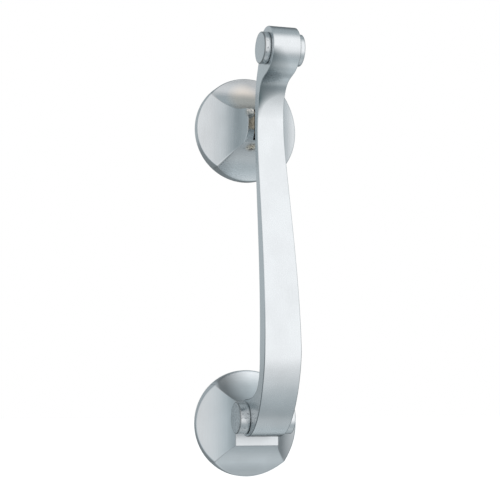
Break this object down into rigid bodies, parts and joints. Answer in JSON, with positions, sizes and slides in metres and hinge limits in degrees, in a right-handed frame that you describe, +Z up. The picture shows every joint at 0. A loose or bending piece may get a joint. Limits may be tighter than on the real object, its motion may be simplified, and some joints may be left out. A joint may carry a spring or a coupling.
{
  "type": "door knocker",
  "caption": "Door knocker: an S-shaped blade arm with a scroll top, hinged in a coved upper rose, strikes a flat platform on a lower rose.",
  "frame": {"origin": "centre of the upper rose's back face, in the plane of the door", "axes": "+Z up the door, +Y into the door, +X along the hinge pin to the right of a person facing the door"},
  "size_m": [0.0446, 0.094, 0.1817],
  "materials": {
    "satin_chrome": "satin chrome plate over cast brass, brushed along the arm",
    "brass": "drawn, plain",
    "zinc_steel": "bright zinc plate"
  },
  "bodies": {
    "root": {"upper_rose": "satin_chrome", "lower_rose": "satin_chrome", "pivot_pin": "brass", "upper_stud": "zinc_steel", "lower_stud": "zinc_steel", "upper_washer": "zinc_steel", "lower_washer": "zinc_steel", "upper_nut": "zinc_steel", "lower_nut": "zinc_steel"},
    "arm": {"arm": "satin_chrome", "scroll_button_left": "satin_chrome", "scroll_button_right": "satin_chrome", "striker_button_left": "satin_chrome", "striker_button_right": "satin_chrome"}
  },
  "joints": [
    {"name": "knocker_hinge", "type": "hinge", "parent": "root", "child": "arm", "pos_m": [0, -0.0156, 0], "axis": [-1, 0, 0], "range_deg": [0, 40]}
  ]
}
